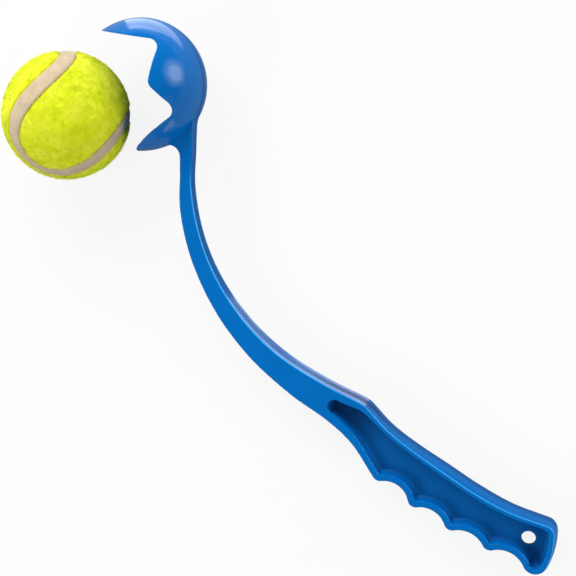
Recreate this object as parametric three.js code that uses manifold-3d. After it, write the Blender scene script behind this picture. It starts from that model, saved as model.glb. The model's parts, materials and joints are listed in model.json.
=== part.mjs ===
// A hand-held ball thrower for dogs, lying on its side on a table, with its ball beside the cup.
// Millimetres, +Z up off the table, +X along the thrower from the cup to the hand end.
// The thrower is drawn flat first: X and Y in its plane of symmetry, Z across it, cup centre at
// zero. It is then leaned over until it rests on the table as the real one does.

import * as THREE from 'three';
import { mergeVertices } from 'three/addons/utils/BufferGeometryUtils.js';
import { ConvexHull } from 'three/addons/math/ConvexHull.js';
import Module from 'manifold-3d';

const wasm = await Module();
wasm.setup();

// Ball: two rubber half shells, two felt panels and the seam between the panels
const BALL_RADIUS = 33.5;
const FELT_THICKNESS = 3.2;
const CORE_WALL = 3.6;
const GLUE_GAP = 0.3;
const SEAM_WIDTH = 6.2;
const SEAM_BELOW_FELT = 0.5;
const SEAM_WAVE = 0.15;
const BALL_TURN_DEGREES = [111.1, -6.2, 19.6];
const BALL_BESIDE_CUP = { along: -12.4, across: -41.6 };

// Cup: a spherical shell, cut straight across by the outline of its mouth
const CUP_CLEARANCE = 0.3;
const CUP_WALL = 1.7;
const UPPER_TIP_DEGREES = 174;
const LOWER_TIP_DEGREES = -42.1;
const UPPER_NOTCH = { at: [-4.8, 29.9], radius: 6 };
const SIDE_LOBE = { at: [10, 12.2], radius: 5 };
const LOWER_NOTCH = { at: [28.7, 12.5], radius: 6.2 };

// Stem: its two edges in the plane of symmetry, and its width across
const STEM_REAR = [[46.2, -0.9], [60, -13.9], [82.6, -27.6], [106.7, -35.7], [133, -38.5], [159.9, -35.6], [186.9, -26.4]];
const STEM_FRONT = [[51.1, -13.9], [65.7, -26.8], [89.6, -39.6], [119.8, -47.6], [150.1, -48.8], [180.2, -44.2], [205.2, -36.9]];
const REAR_FILLET = 25;
const GUSSET_FILLET = 6.5;
const STEM_WIDTH_AT_CUP = 7.4;
const STEM_WIDTH_AT_GRIP = 14.2;
const STEM_FLARE = { from: 70, to: 168 };

// Grip: thumb rest, palm line, heel, toe and four finger bumps, all at the level of its sides
const GRIP_WIDTH = 16.2;
const GRIP_FLARE = { from: 168, to: 236 };
const THUMB_PEAK = [210.2, -15.6];
const THUMB_ROUNDING = 3;
const PALM_LINE = [[228, -14.7], [245, -11], [262.8, -5.8], [282.5, 0.4], [301.1, 8.4]];
const PALM_ENDS_DEGREES = 128;
const HEEL_CORNER = { at: [321.2, 15.3], radius: 5 };
const HEEL_RADIUS = 40;
const TOE = { at: [329.9, 1.8], radius: 6.4 };
const GRIP_NECK = [222, -34.7];
const FINGER_BUMPS = [[243.6, -33.1], [266.2, -27], [287.5, -19.5], [307.8, -10.2]];
const FINGER_BUMP_RADIUS = 4.2;
const FINGERS_START_DEGREES = -102;
const SCALLOP_RADII = [12.4, 13, 13.7, 13.6];

// Crown of the palm: how far its middle stands above the sides, along the palm from the thumb
const CROWN_LEAST = 0.5;
const CROWN_SWELL = 2.1;
const CROWN_AT = 60;
const CROWN_RISE_OVER = 65.2;
const CROWN_FALL_OVER = 104.1;
const CROWN_LEDGE = 0.35;
const CROWN_ROOT = 1.2;

// Recess in each side of the grip: the rim left round it and the web left between the two
const WEB = 3;
const RECESS_START = { front: 204, rear: 197.1 };
const RIM_FRONT_AT_START = 4.6;
const RIM_REAR_AT_START = 4.4;
const RIM_FINGERS = 3.4;
const RIM_HEEL = 2.7;
const RIM_PALM = 2.1;
const RIM_SETTLES = { front: 235, rear: 226 };

// Hang hole through the web
const HANG_HOLE = { at: [319, 5.9], radius: 4 };

// Fineness of the facets
const ARC_STEP = 2.2;
const ARC_STEP_DEGREES = 12;
const EDGE_STEP = 4;
const SEAM_STEPS = 64;
const PANEL_RINGS = 11;
const SPHERE_SEGMENTS = 48;

const CORE_RADIUS = BALL_RADIUS - FELT_THICKNESS - GLUE_GAP;
const BALL_CLEAR_RADIUS = BALL_RADIUS + CUP_CLEARANCE;
const CUP_RADIUS = BALL_CLEAR_RADIUS + CUP_WALL;
const CUTTER_REACH = 2 * CUP_RADIUS;
const { degToRad, lerp, smoothstep } = THREE.MathUtils;

const BLUE_PLASTIC = new THREE.MeshStandardMaterial({ color: 0x0a6cc4, roughness: 0.38, metalness: 0 });
const FELT = new THREE.MeshStandardMaterial({ color: 0xd2e61e, roughness: 0.95, metalness: 0 });
const SEAM_RUBBER = new THREE.MeshStandardMaterial({ color: 0xc4b096, roughness: 0.8, metalness: 0 });
const CORE_RUBBER = new THREE.MeshStandardMaterial({ color: 0x3a3a3a, roughness: 0.7, metalness: 0 });

// Closed solids and booleans

function closedMesh(geometry) {
  const bare = geometry.index ? geometry.clone() : geometry;
  bare.deleteAttribute('normal');
  bare.deleteAttribute('uv');
  const merged = mergeVertices(bare, 1e-5);
  if (signedVolume(merged) < 0) {
    merged.index.array.reverse();
  }
  return merged;
}

function triangles(geometry) {
  const position = geometry.getAttribute('position');
  const corners = [];
  for (let k = 0; k < geometry.index.count; k += 3) {
    corners.push([0, 1, 2].map((n) => new THREE.Vector3().fromBufferAttribute(position, geometry.index.getX(k + n))));
  }
  return corners;
}

function signedVolume(geometry) {
  return triangles(geometry).reduce((sum, [a, b, c]) => sum + a.dot(b.clone().cross(c)) / 6, 0);
}

function centroid(geometry) {
  const sum = new THREE.Vector3();
  let volume = 0;
  for (const [a, b, c] of triangles(geometry)) {
    const part = a.dot(b.clone().cross(c)) / 6;
    sum.addScaledVector(a.clone().add(b).add(c), part / 4);
    volume += part;
  }
  return sum.divideScalar(volume);
}

function solid(geometry) {
  const mesh = closedMesh(geometry);
  return new wasm.Manifold(new wasm.Mesh({
    numProp: 3,
    vertProperties: new Float32Array(mesh.getAttribute('position').array),
    triVerts: new Uint32Array(mesh.index.array),
  }));
}

function geometryOf(manifold) {
  const mesh = manifold.getMesh();
  const geometry = new THREE.BufferGeometry();
  geometry.setAttribute('position', new THREE.BufferAttribute(new Float32Array(mesh.vertProperties), 3));
  geometry.setIndex(new THREE.BufferAttribute(new Uint32Array(mesh.triVerts), 1));
  return geometry;
}

// Plane curves

function vector(pair) {
  return new THREE.Vector2(pair[0], pair[1]);
}

function polar(centre, radius, angle) {
  return new THREE.Vector2(centre.x + radius * Math.cos(angle), centre.y + radius * Math.sin(angle));
}

function arc(centre, radius, from, to) {
  const step = Math.min(ARC_STEP / radius, degToRad(ARC_STEP_DEGREES));
  const count = Math.max(2, Math.ceil(Math.abs(to - from) / step));
  return Array.from({ length: count + 1 }, (_, k) => polar(centre, radius, lerp(from, to, k / count)));
}

function angleFrom(centre, point) {
  return Math.atan2(point.y - centre.y, point.x - centre.x);
}

function arcBetween(centre, start, end, turn) {
  const from = angleFrom(centre, start);
  let to = angleFrom(centre, end);
  while (turn * (to - from) < 0) {
    to += turn * 2 * Math.PI;
  }
  return arc(centre, centre.distanceTo(start), from, to);
}

function smoothCurve(points) {
  const curve = new THREE.CatmullRomCurve3(
    points.map((p) => new THREE.Vector3(p.x, p.y, 0)), false, 'centripetal');
  const count = Math.ceil(curve.getLength() / EDGE_STEP);
  return curve.getSpacedPoints(count).map((p) => new THREE.Vector2(p.x, p.y));
}

function roundedCorner(before, corner, after, radius) {
  const back = before.clone().sub(corner).normalize();
  const on = after.clone().sub(corner).normalize();
  const half = Math.acos(THREE.MathUtils.clamp(back.dot(on), -1, 1)) / 2;
  const reach = radius / Math.tan(half);
  const centre = corner.clone().addScaledVector(back.clone().add(on).normalize(), radius / Math.sin(half));
  const turn = -Math.sign(back.cross(on));
  const start = corner.clone().addScaledVector(back, reach);
  const end = corner.clone().addScaledVector(on, reach);
  return arcBetween(centre, start, end, turn);
}

// Where two circles meet: side 1 is to the right of the way from one centre to the other
function circlesMeet(a, radiusA, b, radiusB, side) {
  const way = b.clone().sub(a);
  const apart = way.length();
  way.normalize();
  const along = (radiusA ** 2 - radiusB ** 2 + apart ** 2) / (2 * apart);
  const off = Math.sqrt(Math.max(0, radiusA ** 2 - along ** 2));
  return a.clone().addScaledVector(way, along).add(new THREE.Vector2(way.y, -way.x).multiplyScalar(off * side));
}

// Lofts and extrusions

function extrude(points, depth) {
  const geometry = new THREE.ExtrudeGeometry(new THREE.Shape(points), { depth, bevelEnabled: false });
  return geometry.translate(0, 0, -depth / 2);
}

// A skin through rings of equally many points, with flat ends or closed round on itself
function loft(rings, closed) {
  const size = rings[0].length;
  const positions = rings.flat().flatMap((p) => [p.x, p.y, p.z]);
  const index = [];
  const spans = closed ? rings.length : rings.length - 1;
  for (let r = 0; r < spans; r++) {
    for (let k = 0; k < size; k++) {
      const a = r * size + k;
      const b = r * size + (k + 1) % size;
      const c = ((r + 1) % rings.length) * size + (k + 1) % size;
      const d = ((r + 1) % rings.length) * size + k;
      index.push(a, b, c, a, c, d);
    }
  }
  if (!closed) {
    const last = (rings.length - 1) * size;
    for (let k = 1; k < size - 1; k++) {
      index.push(0, k + 1, k, last, last + k, last + k + 1);
    }
  }
  const geometry = new THREE.BufferGeometry();
  geometry.setAttribute('position', new THREE.Float32BufferAttribute(positions, 3));
  geometry.setIndex(index);
  return geometry;
}

// Side outline of the stem and grip, in pieces that run anticlockwise from the cup

// A fillet between the cup's sphere and the straight start of a stem edge; side 1 is its right
function cupFillet(edge, radius, side) {
  const start = vector(edge[0]);
  const way = vector(edge[1]).sub(start).normalize();
  const out = new THREE.Vector2(way.y, -way.x).multiplyScalar(side);
  const reach = CUP_RADIUS + radius;
  const height = Math.min(reach, out.dot(start) + radius);
  const centre = out.clone().multiplyScalar(height).addScaledVector(way, Math.sqrt(reach ** 2 - height ** 2));
  const onEdge = centre.clone().addScaledVector(out, -radius);
  const onCup = centre.clone().multiplyScalar(CUP_RADIUS / reach);
  return side > 0 ? arcBetween(centre, onCup, onEdge, -1) : arcBetween(centre, onEdge, onCup, -1);
}

// Finger bumps, toe and heel corner are circles; scallops and heel are arcs that touch two of them
function handEnd() {
  const bumps = FINGER_BUMPS.map((at) => ({ centre: vector(at), radius: FINGER_BUMP_RADIUS }));
  const toe = { centre: vector(TOE.at), radius: TOE.radius };
  const corner = { centre: vector(HEEL_CORNER.at), radius: HEEL_CORNER.radius };
  const rounds = [...bumps, toe, corner];
  const links = SCALLOP_RADII.map((radius, k) => {
    const [a, b] = [rounds[k], rounds[k + 1]];
    const centre = circlesMeet(a.centre, a.radius + radius, b.centre, b.radius + radius, 1);
    return { centre, hollow: 1 };
  });
  const heelCentre = circlesMeet(
    toe.centre, HEEL_RADIUS - toe.radius, corner.centre, HEEL_RADIUS - corner.radius, -1);
  links.push({ centre: heelCentre, hollow: -1 });

  const touch = (round, link) => {
    const way = link.centre.clone().sub(round.centre).normalize();
    return round.centre.clone().addScaledVector(way, round.radius * link.hollow);
  };
  const fingers = bumps.flatMap((bump, k) => {
    const start = k === 0
      ? polar(bump.centre, bump.radius, degToRad(FINGERS_START_DEGREES))
      : touch(bump, links[k - 1]);
    const end = touch(bump, links[k]);
    return [
      ...arcBetween(bump.centre, start, end, 1),
      ...arcBetween(links[k].centre, end, touch(rounds[k + 1], links[k]), -1),
    ];
  });
  const [lastScallop, heelLink] = links.slice(-2);
  const toeEnd = touch(toe, heelLink);
  const heelTop = touch(corner, heelLink);
  const palmEnd = polar(corner.centre, corner.radius, degToRad(PALM_ENDS_DEGREES));
  return {
    fingers,
    toe: arcBetween(toe.centre, touch(toe, lastScallop), toeEnd, 1),
    heel: arcBetween(heelCentre, toeEnd, heelTop, 1),
    corner: arcBetween(corner.centre, heelTop, palmEnd, 1),
  };
}

function sideOutline() {
  const gusset = cupFillet(STEM_FRONT, GUSSET_FILLET, 1);
  const rearFillet = cupFillet(STEM_REAR, REAR_FILLET, -1);
  const hand = handEnd();
  const front = smoothCurve([gusset.at(-1), ...STEM_FRONT.map(vector), vector(GRIP_NECK), hand.fingers[0]]);
  const peak = vector(THUMB_PEAK);
  const beforePeak = vector(STEM_REAR.at(-1)).sub(peak).setLength(THUMB_ROUNDING).add(peak);
  const afterPeak = vector(PALM_LINE[0]).sub(peak).setLength(THUMB_ROUNDING).add(peak);
  const palm = smoothCurve([hand.corner.at(-1), ...PALM_LINE.map(vector).reverse(), afterPeak]);
  const thumb = new THREE.QuadraticBezierCurve(afterPeak, peak, beforePeak).getPoints(4);
  const rear = smoothCurve([beforePeak, ...STEM_REAR.map(vector).reverse(), rearFillet[0]]);
  return { gusset, front, ...hand, palm, thumb, rear, rearFillet };
}

function withoutRepeats(points) {
  const apart = 0.02;
  return points.filter((p, k) => k === 0 || p.distanceTo(points[k - 1]) > apart);
}

// Plan of the stem and grip: half their width across, along X

function halfWidthAt(x) {
  const flare = smoothstep(x, STEM_FLARE.from, STEM_FLARE.to);
  const swell = smoothstep(x, GRIP_FLARE.from, GRIP_FLARE.to);
  const width = STEM_WIDTH_AT_CUP + flare * (STEM_WIDTH_AT_GRIP - STEM_WIDTH_AT_CUP)
    + swell * (GRIP_WIDTH - STEM_WIDTH_AT_GRIP);
  return width / 2;
}

function planSolid(outlinePoints) {
  const end = Math.max(...outlinePoints.map((p) => p.x)) + GRIP_WIDTH;
  const flareSteps = 22;
  const stations = [0, STEM_FLARE.from];
  for (let k = 1; k <= flareSteps; k++) {
    stations.push(lerp(STEM_FLARE.from, GRIP_FLARE.to, k / flareSteps));
  }
  stations.push(end);
  const upper = stations.map((x) => new THREE.Vector2(x, halfWidthAt(x)));
  const lower = upper.map((p) => new THREE.Vector2(p.x, -p.y)).reverse();
  const spread = 8 * CUP_RADIUS;
  return solid(extrude([...upper, ...lower], spread).rotateX(Math.PI / 2));
}

// Crowned strip on the palm: an arch across the grip, carried from the thumb round to the toe

function crownAt(distance) {
  const over = distance < CROWN_AT ? CROWN_RISE_OVER : CROWN_FALL_OVER;
  const phase = THREE.MathUtils.clamp((distance - CROWN_AT) / over, -1, 1);
  return CROWN_LEAST + CROWN_SWELL * Math.cos(phase * Math.PI / 2) ** 2;
}

function crownSolid(outline) {
  const path = withoutRepeats([...outline.toe, ...outline.heel, ...outline.corner, ...outline.palm]).reverse();
  const archPoints = 9;
  let travelled = 0;
  const rings = path.map((point, k) => {
    const before = path[Math.max(0, k - 1)];
    const after = path[Math.min(path.length - 1, k + 1)];
    travelled += point.distanceTo(before);
    const way = after.clone().sub(before).normalize();
    const out = new THREE.Vector2(-way.y, way.x);
    const half = halfWidthAt(point.x) - CROWN_LEDGE;
    const rise = crownAt(travelled);
    const radius = (half ** 2 + rise ** 2) / (2 * rise);
    const spread = Math.asin(Math.min(1, half / radius));
    const place = (across, height) => new THREE.Vector3(
      point.x + out.x * height, point.y + out.y * height, across);
    const ring = [place(-half, -CROWN_ROOT)];
    for (let n = 0; n < archPoints; n++) {
      const angle = lerp(-spread, spread, n / (archPoints - 1));
      ring.push(place(radius * Math.sin(angle), radius * Math.cos(angle) - radius + rise));
    }
    ring.push(place(half, -CROWN_ROOT));
    return ring;
  });
  return solid(loft(rings, false));
}

// Recess: the outline drawn in by the rim, with a round end towards the stem

function rimmed(points, start, rimAt) {
  return points.filter((p) => p.x > start).map((p) => ({ point: p, rim: rimAt(p.x) }));
}

function distanceToLine(point, from, to) {
  const way = to.clone().sub(from);
  const along = THREE.MathUtils.clamp(point.clone().sub(from).dot(way) / way.lengthSq(), 0, 1);
  return point.distanceTo(from.clone().addScaledVector(way, along));
}

function drawnIn(rimPoints) {
  const slack = 0.05;
  return rimPoints.map(({ point, rim }, k) => {
    const before = rimPoints[Math.max(0, k - 1)].point;
    const after = rimPoints[Math.min(rimPoints.length - 1, k + 1)].point;
    const way = after.clone().sub(before).normalize();
    return point.clone().add(new THREE.Vector2(-way.y, way.x).multiplyScalar(rim));
  }).filter((inner) => rimPoints.slice(1).every(({ point, rim }, k) => (
    distanceToLine(inner, rimPoints[k].point, point) > Math.min(rim, rimPoints[k].rim) - slack)));
}

function recessSolids(outline) {
  const { front, rear } = RECESS_START;
  const frontRim = (x) => lerp(RIM_FRONT_AT_START, RIM_FINGERS, smoothstep(x, front, RIM_SETTLES.front));
  const rearRim = (x) => lerp(RIM_REAR_AT_START, RIM_PALM, smoothstep(x, rear, RIM_SETTLES.rear));
  const rim = [
    ...rimmed(outline.front, front, frontRim),
    ...rimmed(outline.fingers, front, () => RIM_FINGERS),
    ...rimmed([...outline.toe, ...outline.heel, ...outline.corner], front, () => RIM_HEEL),
    ...rimmed([...outline.palm, ...outline.thumb, ...outline.rear], rear, rearRim),
  ].filter(({ point }, k, all) => k === 0 || point.distanceTo(all[k - 1].point) > 0.02);
  const inner = drawnIn(rim);
  const middle = inner[0].clone().lerp(inner.at(-1), 0.5);
  const roundEnd = arcBetween(middle, inner.at(-1), inner[0], 1).slice(1, -1);
  const depth = GRIP_WIDTH;
  return [1, -1].map((side) => solid(
    extrude([...inner, ...roundEnd], depth).translate(0, 0, side * (depth + WEB) / 2)));
}

// Cup

function sphere(radius) {
  return new THREE.SphereGeometry(radius, SPHERE_SEGMENTS, SPHERE_SEGMENTS * 2 / 3).rotateX(Math.PI / 2);
}

function mouthSolid() {
  const centre = new THREE.Vector2();
  const upperTip = polar(centre, CUP_RADIUS, degToRad(UPPER_TIP_DEGREES));
  const lowerTip = polar(centre, CUP_RADIUS, degToRad(LOWER_TIP_DEGREES));
  const corners = [UPPER_NOTCH, SIDE_LOBE, LOWER_NOTCH].map((c) => ({ ...c, at: vector(c.at) }));
  const past = (tip, corner) => tip.clone().add(tip.clone().sub(corner.at).setLength(CUP_RADIUS));
  const start = past(upperTip, corners[0]);
  const end = past(lowerTip, corners[2]);
  const cut = [start, ...corners.map((c) => c.at), end];
  const rounded = corners.flatMap((c, k) => roundedCorner(cut[k], c.at, cut[k + 2], c.radius));
  const below = Math.min(start.y, end.y) - CUTTER_REACH;
  const points = [start, ...rounded, end, new THREE.Vector2(end.x, below), new THREE.Vector2(start.x, below)];
  return solid(extrude(points, 2 * CUTTER_REACH));
}

function hangHole() {
  const drill = new THREE.CylinderGeometry(HANG_HOLE.radius, HANG_HOLE.radius, 2 * GRIP_WIDTH, 40);
  return solid(drill.rotateX(Math.PI / 2).translate(HANG_HOLE.at[0], HANG_HOLE.at[1], 0));
}

// The moulding, flat

function throwerGeometry() {
  const outline = sideOutline();
  const points = withoutRepeats([
    new THREE.Vector2(), ...outline.gusset, ...outline.front, ...outline.fingers, ...outline.toe,
    ...outline.heel, ...outline.corner, ...outline.palm, ...outline.thumb, ...outline.rear, ...outline.rearFillet,
  ]);
  const block = solid(extrude(points, 2 * GRIP_WIDTH)).intersect(planSolid(points));
  const shell = solid(sphere(CUP_RADIUS)).subtract(mouthSolid());
  let body = shell.add(block).add(crownSolid(outline)).subtract(solid(sphere(BALL_CLEAR_RADIUS)));
  for (const recess of recessSolids(outline)) {
    body = body.subtract(recess);
  }
  return geometryOf(body.subtract(hangHole()));
}

// The face of the thrower's hull that it comes to rest on: below its centre of mass, and steady

function restingFace(geometry) {
  const position = geometry.getAttribute('position');
  const points = Array.from({ length: position.count }, (_, k) => new THREE.Vector3().fromBufferAttribute(position, k));
  const centre = centroid(geometry);
  const down = new THREE.Vector3(0, 0, -1);
  const faces = new ConvexHull().setFromPoints(points).faces;
  return faces.filter((face) => {
    const foot = centre.clone().addScaledVector(face.normal, face.constant - face.normal.dot(centre));
    let edge = face.edge;
    for (let k = 0; k < 3; k++) {
      const side = edge.head().point.clone().sub(edge.tail().point);
      if (side.cross(foot.clone().sub(edge.tail().point)).dot(face.normal) < 0) {
        return false;
      }
      edge = edge.next;
    }
    return true;
  }).sort((a, b) => b.normal.dot(down) - a.normal.dot(down))[0];
}

// Ball

// The seam of a tennis ball: a closed curve on the unit sphere that rises and dips twice
function seamDirection(angle) {
  const wide = 1 - SEAM_WAVE;
  return new THREE.Vector3(
    wide * Math.cos(angle) + SEAM_WAVE * Math.cos(3 * angle),
    wide * Math.sin(angle) - SEAM_WAVE * Math.sin(3 * angle),
    2 * Math.sqrt(wide * SEAM_WAVE) * Math.sin(2 * angle));
}

// The direction that lies beside the seam by a distance on the ball's surface, towards +Z
function besideSeam(angle, distance) {
  const step = 1e-4;
  const on = seamDirection(angle);
  const along = seamDirection(angle + step).sub(seamDirection(angle - step)).normalize();
  const aside = on.clone().cross(along);
  const turn = distance / BALL_RADIUS;
  return on.multiplyScalar(Math.cos(turn)).addScaledVector(aside, Math.sin(turn));
}

function seamAngles() {
  return Array.from({ length: SEAM_STEPS }, (_, k) => 2 * Math.PI * k / SEAM_STEPS);
}

function seamGeometry() {
  const outer = BALL_RADIUS - SEAM_BELOW_FELT;
  const inner = CORE_RADIUS + GLUE_GAP;
  return closedMesh(loft(seamAngles().map((angle) => {
    const [left, right] = [1, -1].map((side) => besideSeam(angle, side * SEAM_WIDTH / 2));
    return [
      left.clone().multiplyScalar(outer), right.clone().multiplyScalar(outer),
      right.clone().multiplyScalar(inner), left.clone().multiplyScalar(inner),
    ];
  }), true));
}

// A felt panel: rings that spread from its middle out to the seam, outside and inside
function feltGeometry() {
  const middle = new THREE.Vector3(0, 0, 1);
  const edges = seamAngles().map((angle) => besideSeam(angle, SEAM_WIDTH / 2 + GLUE_GAP));
  const positions = [];
  const index = [];
  const skins = [BALL_RADIUS, CORE_RADIUS + GLUE_GAP];
  for (const radius of skins) {
    positions.push(0, 0, radius);
    for (let ring = 1; ring <= PANEL_RINGS; ring++) {
      for (const edge of edges) {
        const angle = middle.angleTo(edge) * ring / PANEL_RINGS;
        const aside = edge.clone().addScaledVector(middle, -edge.z).normalize();
        const spot = aside.multiplyScalar(Math.sin(angle)).addScaledVector(middle, Math.cos(angle));
        positions.push(...spot.multiplyScalar(radius));
      }
    }
  }
  const skinSize = 1 + PANEL_RINGS * SEAM_STEPS;
  const at = (skin, ring, k) => (
    skin * skinSize + (ring === 0 ? 0 : 1 + (ring - 1) * SEAM_STEPS + k % SEAM_STEPS));
  for (let k = 0; k < SEAM_STEPS; k++) {
    for (let ring = 0; ring < PANEL_RINGS; ring++) {
      index.push(at(0, ring, k), at(0, ring + 1, k), at(0, ring + 1, k + 1));
      index.push(at(1, ring, k), at(1, ring + 1, k + 1), at(1, ring + 1, k));
      if (ring > 0) {
        index.push(at(0, ring, k), at(0, ring + 1, k + 1), at(0, ring, k + 1));
        index.push(at(1, ring, k), at(1, ring, k + 1), at(1, ring + 1, k + 1));
      }
    }
    index.push(at(0, PANEL_RINGS, k), at(1, PANEL_RINGS, k), at(1, PANEL_RINGS, k + 1));
    index.push(at(0, PANEL_RINGS, k), at(1, PANEL_RINGS, k + 1), at(0, PANEL_RINGS, k + 1));
  }
  const geometry = new THREE.BufferGeometry();
  geometry.setAttribute('position', new THREE.Float32BufferAttribute(positions, 3));
  geometry.setIndex(index);
  return closedMesh(geometry);
}

// Half of the hollow core: a hemispherical shell, its rim a little short of the other half
function coreGeometry() {
  const inner = CORE_RADIUS - CORE_WALL;
  const rim = GLUE_GAP / 2;
  const arcSteps = 8;
  const wallAt = (radius) => Array.from({ length: arcSteps + 1 }, (_, k) => {
    const angle = lerp(Math.PI / 2, Math.asin(rim / radius), k / arcSteps);
    return new THREE.Vector2(k === 0 ? 0 : radius * Math.cos(angle), radius * Math.sin(angle));
  });
  const profile = [...wallAt(CORE_RADIUS), ...wallAt(inner).reverse()];
  return closedMesh(new THREE.LatheGeometry(profile, 32).rotateX(Math.PI / 2));
}

function ballGroup() {
  const ball = new THREE.Group();
  const halfTurn = Math.PI;
  for (const [name, geometry, material] of [
    ['core_half', coreGeometry(), CORE_RUBBER],
    ['felt_panel', feltGeometry(), FELT],
  ]) {
    const first = new THREE.Mesh(geometry, material);
    const second = new THREE.Mesh(geometry, material);
    first.name = `${name}_a`;
    second.name = `${name}_b`;
    second.rotation.y = halfTurn;
    ball.add(first, second);
  }
  const seam = new THREE.Mesh(seamGeometry(), SEAM_RUBBER);
  seam.name = 'seam_band';
  ball.add(seam);
  return ball;
}

// Assembly on the table

const group = new THREE.Group();

const thrower = new THREE.Mesh(throwerGeometry(), BLUE_PLASTIC);
thrower.name = 'thrower_body';
const face = restingFace(thrower.geometry);
thrower.quaternion.setFromUnitVectors(face.normal, new THREE.Vector3(0, 0, -1));
thrower.position.z = face.constant;
group.add(thrower);

const ball = ballGroup();
ball.rotation.set(...BALL_TURN_DEGREES.map(degToRad));
ball.position.set(BALL_BESIDE_CUP.along, BALL_BESIDE_CUP.across, BALL_RADIUS);
group.add(ball);

group.updateMatrixWorld(true);
const box = new THREE.Box3().setFromObject(group, true);
const middle = box.getCenter(new THREE.Vector3());
group.position.set(-middle.x, -middle.y, -box.min.z);

export default group;
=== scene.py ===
# A blue plastic dog ball thrower lying on a white floor, with its felt ball beside the cup.
# The thrower is shaped in its own flat frame, in millimetres: X and Y in its plane of symmetry,
# Z across it, cup centre at zero. Everything placed in the scene is in metres.

import json
import math
from collections import namedtuple

import bpy
import numpy as np
from mathutils import Matrix, Vector


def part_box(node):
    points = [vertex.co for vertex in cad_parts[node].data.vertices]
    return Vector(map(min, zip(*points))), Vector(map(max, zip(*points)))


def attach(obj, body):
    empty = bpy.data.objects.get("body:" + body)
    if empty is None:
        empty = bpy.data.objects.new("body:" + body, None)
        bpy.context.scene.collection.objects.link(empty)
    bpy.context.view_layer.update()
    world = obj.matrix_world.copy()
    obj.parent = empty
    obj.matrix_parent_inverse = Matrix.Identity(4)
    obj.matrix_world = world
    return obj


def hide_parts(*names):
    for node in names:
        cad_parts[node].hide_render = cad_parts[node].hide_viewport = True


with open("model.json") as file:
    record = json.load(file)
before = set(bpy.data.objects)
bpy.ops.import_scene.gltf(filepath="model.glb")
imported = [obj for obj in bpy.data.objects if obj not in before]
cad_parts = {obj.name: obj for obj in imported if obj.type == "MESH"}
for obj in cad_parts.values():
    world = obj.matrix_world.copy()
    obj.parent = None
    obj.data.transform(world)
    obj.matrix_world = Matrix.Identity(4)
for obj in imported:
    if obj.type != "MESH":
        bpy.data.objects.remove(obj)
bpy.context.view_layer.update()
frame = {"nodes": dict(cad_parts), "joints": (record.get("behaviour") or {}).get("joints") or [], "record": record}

MM = 0.001

# Ball
BALL_RADIUS = 33.5
FELT_THICKNESS = 3.2
SEAM_WIDTH = 6.2
SEAM_BELOW_FELT = 0.5
SEAM_GROWTH = 1.1
SEAM_WAVE = 0.15
BALL_TURN_DEGREES = (111.1, -6.2, 19.6)
CORE_NODES = ("core_half_a", "core_half_b")
FELT_INSIDE_RADIUS = BALL_RADIUS - FELT_THICKNESS

# Cup
CUP_CLEARANCE = 0.3
CUP_WALL = 1.7
TIP_THINNING = 0.6
TIP_THINS = (118, 165)
UPPER_TIP_DEGREES = 174
LOWER_TIP_DEGREES = -42.1
UPPER_NOTCH = ((-4.8, 29.9), 6)
SIDE_LOBE = ((10, 12.2), 5)
LOWER_NOTCH = ((28.7, 12.5), 6.2)
BALL_CLEAR_RADIUS = BALL_RADIUS + CUP_CLEARANCE
CUP_RADIUS = BALL_CLEAR_RADIUS + CUP_WALL

# Stem
STEM_REAR = ((46.2, -0.9), (60, -13.9), (82.6, -27.6), (106.7, -35.7), (133, -38.5), (159.9, -35.6),
             (186.9, -26.4))
STEM_FRONT = ((51.1, -13.9), (65.7, -26.8), (89.6, -39.6), (119.8, -47.6), (150.1, -48.8),
              (180.2, -44.2), (205.2, -36.9))
REAR_FILLET = 25
GUSSET_FILLET = 6.5
STEM_WIDTH_AT_CUP = 8.6
STEM_WIDTH_AT_GRIP = 14.2
STEM_FLARE = (70, 168)

# Grip
GRIP_WIDTH = 16.2
GRIP_FLARE = (168, 236)
THUMB_PEAK = (210.2, -15.6)
THUMB_ROUNDING = 3
THUMB_STEPS = 24
PALM_LINE = ((228, -14.7), (245, -11), (262.8, -5.8), (282.5, 0.4), (301.1, 8.4))
PALM_ENDS_DEGREES = 128
HEEL_CORNER = ((321.2, 15.3), 5)
HEEL_RADIUS = 40
TOE = ((329.9, 1.8), 6.4)
GRIP_NECK = (222, -34.7)
FINGER_BUMPS = ((243.6, -33.1), (266.2, -27), (287.5, -19.5), (307.8, -10.2))
FINGER_BUMP_RADIUS = 4.2
FINGERS_START_DEGREES = -102
SCALLOP_RADII = (12.4, 13, 13.7, 13.6)

# Crown of the palm
CROWN_LEAST = 0.5
CROWN_SWELL = 2.1
CROWN_AT = 60
CROWN_RISE_OVER = 65.2
CROWN_FALL_OVER = 104.1
CROWN_LEDGE = 0.35

# Recess in each side of the grip, and the hang hole through the web between the two
WEB = 3
HANG_HOLE = ((319, 5.9), 4)
MOUNT_FROM_HOLE = (-10, -2.4)
RECESS_DRAFT = math.tan(math.radians(2))
FLOOR_FILLET = 1.8

# Rim of the recess: its width at first and further on, and the X between which that changes. The
# recess starts at the first X of the front and of the rear.
RIM_FRONT = (4.6, 3.4, 204, 235)
RIM_REAR = (4.4, 2.1, 197.1, 226)
RIM_FINGERS = (3.4, 3.4, 0, 1)
RIM_HEEL = (2.7, 2.7, 0, 1)

# Stretches of the side outline: whether the crown runs along them, their edge's radius and the rim
STRETCHES = {
    "gusset": (False, 0.45, RIM_FRONT),
    "front": (False, 0.45, RIM_FRONT),
    "fingers": (False, 0.6, RIM_FINGERS),
    "toe": (True, 0.5, RIM_HEEL),
    "heel": (True, 0.5, RIM_HEEL),
    "corner": (True, 0.5, RIM_HEEL),
    "palm": (True, 0.3, RIM_REAR),
    "thumb": (False, 0.3, RIM_REAR),
    "rear": (False, 0.35, RIM_REAR),
    "rear_fillet": (False, 0.35, RIM_REAR),
}

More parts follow.
